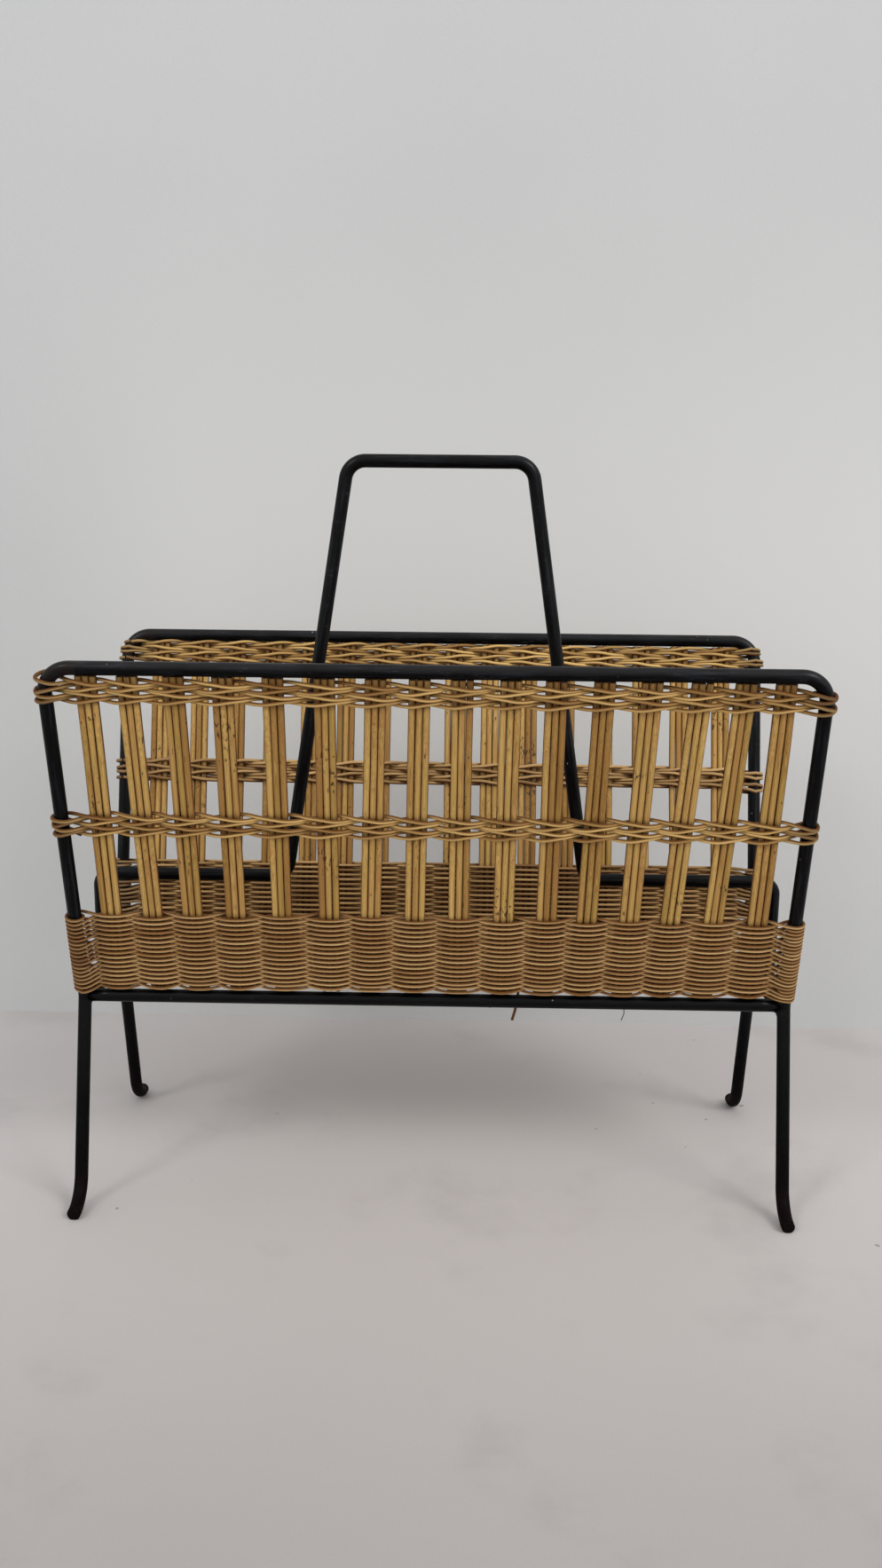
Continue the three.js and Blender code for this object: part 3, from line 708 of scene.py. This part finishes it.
# Thin dull reed, browner and greyer than the stakes, with long streaks and darker stretches.
def weaver_finish(name, dark, light, stain, greyed, at_right):
    """Reed streaked from a dark to a light colour, stained, greyed at the ends, with painted shade
    on its lower side and on the side that faces the stake or rod it crosses.
    """
    material, wires, shader = finish(name, Specular_IOR_Level=0.17)
    tone = wires.node("Attribute", {}, "Fac", attribute_name="tone")
    facing = wires.node("Attribute", {}, "Fac", attribute_name="facing")
    across = wires.node("TexCoord", {}, "Object").part("X")
    cosine, sine, length = round_the_rod(wires)
    skin = wires.node("CombineXYZ", {"X": cosine * 0.25, "Y": sine * 0.25, "Z": length * 9})
    streak = skin.stretched(11, 11, 1).noise(1.7, 4.0, 0.62)
    fine = skin.stretched(36, 36, 4).noise(1.5, 3.0, 0.6)
    patch = skin.stretched(1, 1, 1.4).noise(1.3, 3.0, 0.6)
    end = across.ramp(-0.186, -0.212) + across.ramp(0.192, 0.214) * at_right
    # Painted shade: the lower half of each weaver darker.
    painted_shade_beneath = cosine.ramp(-0.15, -0.75) * (0.70 + streak * 0.35)
    # Painted shade on the side of a weaver that faces the stake or rod it crosses.
    behind = facing.ramp(-0.25, -0.85) * 0.85
    reed = (streak * 0.4 + tone * 0.6).ramp(0.22, 0.78).blend(dark, light).under(
        (patch.ramp(0.52, 0.72) * 0.6, stain),
        (fine.ramp(0.57, 0.72) * 0.4, (0.055, 0.028, 0.014)),
        (end * (0.25 + patch * 0.5), greyed),
        # Both painted shades take the same dark red-brown.
        (behind.math("MAXIMUM", painted_shade_beneath), (0.105, 0.030, 0.002)),
    )
    gloss = 0.46 + fine * 0.18 + patch * 0.1
    wear(wires, shader, reed, gloss, streak * 0.6 + fine * 0.6, 0.5, 0.0002)
    return material


dull_weaver = weaver_finish(
    "dull_weaver_reed",
    dark=(0.41, 0.232, 0.086),
    light=(0.70, 0.47, 0.210),
    stain=(0.25, 0.120, 0.046),
    greyed=(0.12, 0.065, 0.032),
    at_right=0.2,
)
# A darker, greyer copy for the back bands, whose darkness is partly painted shade inside the
# trough.
dark_shaded_weaver = weaver_finish(
    "dark_shaded_weaver_reed",
    dark=(0.25, 0.135, 0.050),
    light=(0.64, 0.41, 0.175),
    stain=(0.16, 0.075, 0.032),
    greyed=(0.14, 0.098, 0.064),
    at_right=0.6,
)

# Each panel has its rows, and its whole turns more round the left and the right upright.
for side, name, rows, more_left, more_right in ((-1, "front", 33, 3, 6), (1, "back", 34, 4, 5)):
    random = np.random.default_rng(7 + side)
    # The lowest rows are pressed together on the rail.
    known = [0, 1, 2, 3, rows], [7.6, 9.0, 10.4, 11.9, 11.9 + ROW * (rows - 3)]
    rises = side * up_panel(np.interp(np.arange(rows), *known))
    runs = plain_weave(rises, wraps(rises, 1, more_left), wraps(rises, 0, more_right), random)
    weave = weaver(on_panel, runs, random, 0.5)
    # The back panel's band takes the darker copy, partly painted shade.
    reed = dull_weaver if name == "front" else dark_shaded_weaver
    piece(f"{name}_bottom_weave", [weave], reed, [f"{name}_bottom_band"])

random = np.random.default_rng(21)
halves = []
for side, rows in ((-1, 22), (1, 25)):
    rises = side * (0.8 + ROW * np.arange(rows))
    # The rows part round the foot of the divider, which stands on the end rod.
    places = side * np.minimum(7.2 + 0.82 * np.abs(rises), 37), np.zeros(rows, int)
    runs = plain_weave(rises, places, places, random, FLOOR_SINK)
    halves.append(weaver(on_wicker, runs, random, 0.45, FLOOR_SINK))
# Two cut ends of weavers hang out below the floor, a thick dark one and a thin one, and a stub.
# All three take the darkest tone and, from their facing mark, painted shade all round.
loose_ends = (
    ([(52.3, -30, 128.5), (51.9, -30, 120.5), (50.4, -30, 113.8), (48.8, -30, 107.9)], 0.85),
    ([(118.2, -30, 128.5), (117.8, -30, 117.0), (117.9, -30, 113.0), (116.4, -30, 108.9)], 0.3),
    ([(36.3, -37, 128.5), (35.3, -38, 122.0), (34.8, -38, 118.9)], 0.5),
)
for line, radius in loose_ends:
    line = np.array(line, float)
    # A facing of -0.8 gives each loose end painted shade all round.
    end = tube(line, radius, (1, 0, 0), WEAVER_SIDES, WEAVER_END, tone=0.0, facing=-0.8)
    halves.append(end)
piece("floor_weave", halves, dull_weaver, ["woven_floor"])

# ---- Middle and top bands, twined ----
# Four rows of two thin reeds twisted round each other, with a half turn between stakes. The
# slant changes from row to row, and at the ends the pair goes round the upright into the next.

TWINED_WEAVER = 1.12  # radius
SLANTS = [-1, 1, -1, 1]
APART = 0.95  # how far each weaver of a pair lies above or below its row between stakes
BEND_FROM = 197.95  # up the panel to where an upright starts to bend over


def upright_at(hand, rise):
    """Centre line of an upright, also where it bends over into the top rail."""
    up = np.clip(rise - BEND_FROM, 0, SHOULDER_BEND - 1)
    return hand * (UPRIGHT - SHOULDER_BEND + np.sqrt(SHOULDER_BEND**2 - up**2))


def twined(side, rows, random, loose_end=False, girth=TWINED_WEAVER, fold=(0.3, 0.4)):
    """Two weavers through twined rows, from the lowest at the left upwards.

    A row is its rise at the left upright, at the first and last stake, and at the right upright.
    A weaver of parity p stands proud by p x crest x swing, and its rise differs from the row's by
    -slant x p x 0.95 s, with s = tanh(1.5 sin(pi x number)) / tanh 1.5. At an upright both go round
    on a half circle, one from the front and one from the back, and change parity. Fold is how loose
    the last turn round an upright is, and how far it climbs.
    """
    made = []
    for parity in (1, -1):
        runs = []
        for k, (row, slant) in enumerate(zip(rows, SLANTS)):
            way = 1 if k % 2 == 0 else -1
            rise = np.interp(NUMBER, [-1, 0, 15, 16], row) + drift(random, NUMBER, 3, 0.12)
            parted = np.tanh(1.5 * np.sin(np.pi * NUMBER)) / np.tanh(1.5)
            rise = rise - slant * parity * APART * parted
            out = parity * crest_at(NUMBER) * swing(NUMBER) + drift(random, NUMBER, 2, 0.05)
            place = across_at(NUMBER, side * up_panel(rise))
            place = place + (upright_at(-1, rise) + UPRIGHT) * BY_LEFT
            place = place + (upright_at(1, rise) - UPRIGHT) * BY_RIGHT
            runs.append([part[::way] for part in (place, rise, out)])
            facing = np.sign(out[::way][-1])
            if k + 1 < len(rows):
                ends = row[-1 if way == 1 else 0], rows[k + 1][-1 if way == 1 else 0]
                turn = round_rod(way, lambda rise: upright_at(way, rise), ends, facing)
                bulge = parity * way * APART * np.sin(np.linspace(0, np.pi, len(turn[1])))
                runs.append([turn[0], turn[1] + bulge, turn[2]])
                parity = -parity
            elif facing > 0:
                # The pair is one weaver folded round the upright, here from the front to the back.
                ends = row[0], row[0] + fold[1]
                runs.append(round_rod(way, lambda rise: upright_at(way, rise), ends, 1, 0, fold[0]))
        if runs[0][2][0] > 0:
            # The weaver comes round from behind the upright, or has its cut end there, lower down.
            start = rows[0][0]
            ends = start - 0.1, start - (1.6 if loose_end else 0.4)
            turn = round_rod(-1, lambda rise: upright_at(-1, rise), ends, 1)
            tail = [-207.5, -203.4], [start - 2.4, start - 4.0], [-4.4, -3.9]
            tail = tail if loose_end else ([], [], [])
            run = [np.concatenate([end[::-1], part[::-1]]) for part, end in zip(turn, tail)]
            runs.insert(0, run)
        runs = [[across, side * up_panel(rise), proud] for across, rise, proud in runs]
        made.append(weaver(on_panel, runs, random, 0.5, 0.0, girth))
    return made


golden_weaver = weaver_finish(
    "golden_weaver_reed",
    dark=(0.33, 0.178, 0.056),
    light=(0.79, 0.520, 0.190),
    stain=(0.22, 0.11, 0.045),
    greyed=(0.062, 0.058, 0.042),
    at_right=1.1,
)

bands = {
    ("front", "middle"): [
        (112.6, 113.0, 113.5, 114.4),
        (115.9, 117.0, 116.9, 117.8),
        (118.6, 120.0, 119.9, 120.9),
        (121.6, 123.2, 123.4, 122.6),
    ],
    ("front", "top"): [
        (194.6, 194.7, 193.7, 192.8),
        (197.4, 198.6, 197.4, 196.0),
        (200.9, 201.6, 201.0, 199.6),
        (206.0, 205.0, 203.9, 202.6),
    ],
    ("back", "middle"): [
        (115.6, 115.6, 114.9, 111.2),
        (118.9, 119.4, 118.6, 116.2),
        (122.6, 123.2, 122.2, 119.8),
        (126.4, 127.0, 125.9, 123.8),
    ],
    ("back", "top"): [
        (196.8, 196.4, 196.0, 196.2),
        (200.4, 200.1, 199.6, 199.4),
        (204.0, 203.8, 203.0, 203.7),
        (207.2, 207.5, 206.4, 207.3),
    ],
}
# A cut end hangs at the left of one band, another ends in a loose fold, a third has thicker reeds.
own_ways = {
    ("front", "middle"): {"loose_end": True},
    ("front", "top"): {"fold": (2.85, 4.2)},
    ("back", "middle"): {"girth": 1.16},
}
for seed, ((panel, band), rows) in enumerate(bands.items()):
    side = -1 if panel == "front" else 1
    random = np.random.default_rng(60 + seed)
    pair = twined(side, rows, random, **own_ways.get((panel, band), {}))
    # The back middle band takes the darker copy, partly painted shade.
    reed = dark_shaded_weaver if (panel, band) == ("back", "middle") else golden_weaver
    piece(f"{panel}_{band}_twining", pair, reed, [f"{panel}_{band}_band"])

# ---- Floor, wall, light and camera ----
# A pale floor that meets a pale grey wall behind the basket, two large soft lights at the front
# left and front right, and a camera that stands a little above the handle. Places are in metres.


def plain_sheet(name, corners, colour, roughness, painted_shade_and_dirt=0.0, painted_light=0.0):
    """A flat sheet through corners, a little uneven: painted shade towards the front with smudges
    and specks, or a paler patch of painted light behind.
    """
    mesh = bpy.data.meshes.new(name)
    mesh.from_pydata(corners, [], [(0, 1, 2, 3)])
    material, wires, shader = finish(name, Specular_IOR_Level=0.2)
    place = wires.node("TexCoord", {}, "Object")
    right, deep, high = place.part("X"), place.part("Y"), place.part("Z")
    cloud = place.noise(3.0, 3.0)
    grain = place.noise(700.0, 2.0)
    # Painted shade: the floor darker towards the front.
    near = deep.ramp(-0.02, -0.42) * painted_shade_and_dirt
    smudge = place.noise(7.0, 5.0, 0.6).ramp(0.52, 0.72) * (painted_shade_and_dirt * 0.35)
    speck = place.noise(75.0, 1.0).ramp(0.79, 0.81) * (0.5 if painted_shade_and_dirt else 0.0)
    # Painted light: a paler patch on the wall behind the basket, in the middle and to the right.
    behind = right.ramp(-0.36, -0.16) * high.ramp(0.0, 0.34) * high.ramp(0.68, 0.36) * painted_light
    lighter = tuple(c * 1.05 for c in colour)
    tint = (cloud * 0.6 + grain * 0.4).ramp(0.3, 0.7).blend(colour, lighter).under(
        (near + smudge, (0.02, 0.01, 0.008)),
        (speck, (0.10, 0.08, 0.07)),
        (behind, (0.73, 0.735, 0.725)),
    )
    wear(wires, shader, tint, roughness + grain * 0.1, grain + cloud, 0.1, 0.0002)
    mesh.materials.append(material)
    sheet = bpy.data.objects.new(name, mesh)
    bpy.context.scene.collection.objects.link(sheet)
    return material, wires, shader


floor_corners = [(-4, -4, 0), (4, -4, 0), (4, 4, 0), (-4, 4, 0)]
# The floor takes painted shade towards the front, and smudges and specks.
plain_sheet("floor", floor_corners, (0.60, 0.565, 0.555), 0.6, painted_shade_and_dirt=0.30)
# The wall shows only from its front, so that the basket can be looked at from behind too.
wall_corners = [(-4, 0.292, 0), (4, 0.184, 0), (4, 0.184, 3), (-4, 0.292, 3)]
# The wall carries a patch of painted light behind the basket.
material, wires, shader = plain_sheet("wall", wall_corners, (0.60, 0.61, 0.61), 0.7, painted_light=0.85)
behind = wires.node("NewGeometry", {}, "Backfacing")
clear = wires.node("BsdfTransparent", {})
front = Wire(wires.tree, shader.outputs[0])
seen = wires.node("MixShader", {0: behind, 1: front, 2: clear})
output = next(n for n in material.node_tree.nodes if n.type == "OUTPUT_MATERIAL")
material.node_tree.links.new(seen.socket, output.inputs[0])


def soft_light(name, place, aim, size, power, colour):
    """A square light at a place that looks at a point."""
    data = bpy.data.lights.new(name, "AREA")
    data.shape = "SQUARE"
    data.size, data.energy, data.color = size, power, colour
    light = bpy.data.objects.new(name, data)
    looks = unit(np.array(aim) - np.array(place))
    level = unit(np.cross(looks, [0, 0, 1]))
    turned = np.stack([level, np.cross(level, looks), -looks], 1)
    matrix = np.eye(4)
    matrix[:3, :3], matrix[:3, 3] = turned, place
    light.matrix_world = Matrix(matrix)
    light.visible_camera = False
    bpy.context.scene.collection.objects.link(light)


soft_light("left_softbox", (-2.0, -2.4, 2.7), (0, 0, 0.2), 0.8, 22, (1.0, 0.99, 0.97))
soft_light("right_softbox", (2.3, -2.0, 2.7), (0, 0, 0.2), 1.5, 48, (1.0, 0.98, 0.96))
world = bpy.data.worlds.new("room")
world.use_nodes = True
background = world.node_tree.nodes["Background"]
background.inputs["Color"].default_value = (0.80, 0.81, 0.82, 1)
background.inputs["Strength"].default_value = 0.98
bpy.context.scene.world = world
bpy.context.scene.view_settings.view_transform = "Standard"

# The camera stands 0.8 m in front, looks down by some 12 degrees and is turned a little left.
lens = bpy.data.cameras.new("camera")
lens.lens, lens.sensor_width, lens.clip_start = 30.5603, 36, 0.05
camera = bpy.data.objects.new("camera", lens)
rightward = (0.99979248, 0.01770104, 0.01008289)
upward = (-0.01348308, 0.20395822, 0.97888674)
backward = (0.01527082, -0.97881955, 0.20415456)
matrix = np.eye(4)
matrix[:3, :3] = np.stack([rightward, upward, backward], 1)
matrix[:3, 3] = (0.0154352, -0.809222, 0.4194521)
camera.matrix_world = Matrix(matrix)
bpy.context.scene.collection.objects.link(camera)
bpy.context.scene.camera = camera
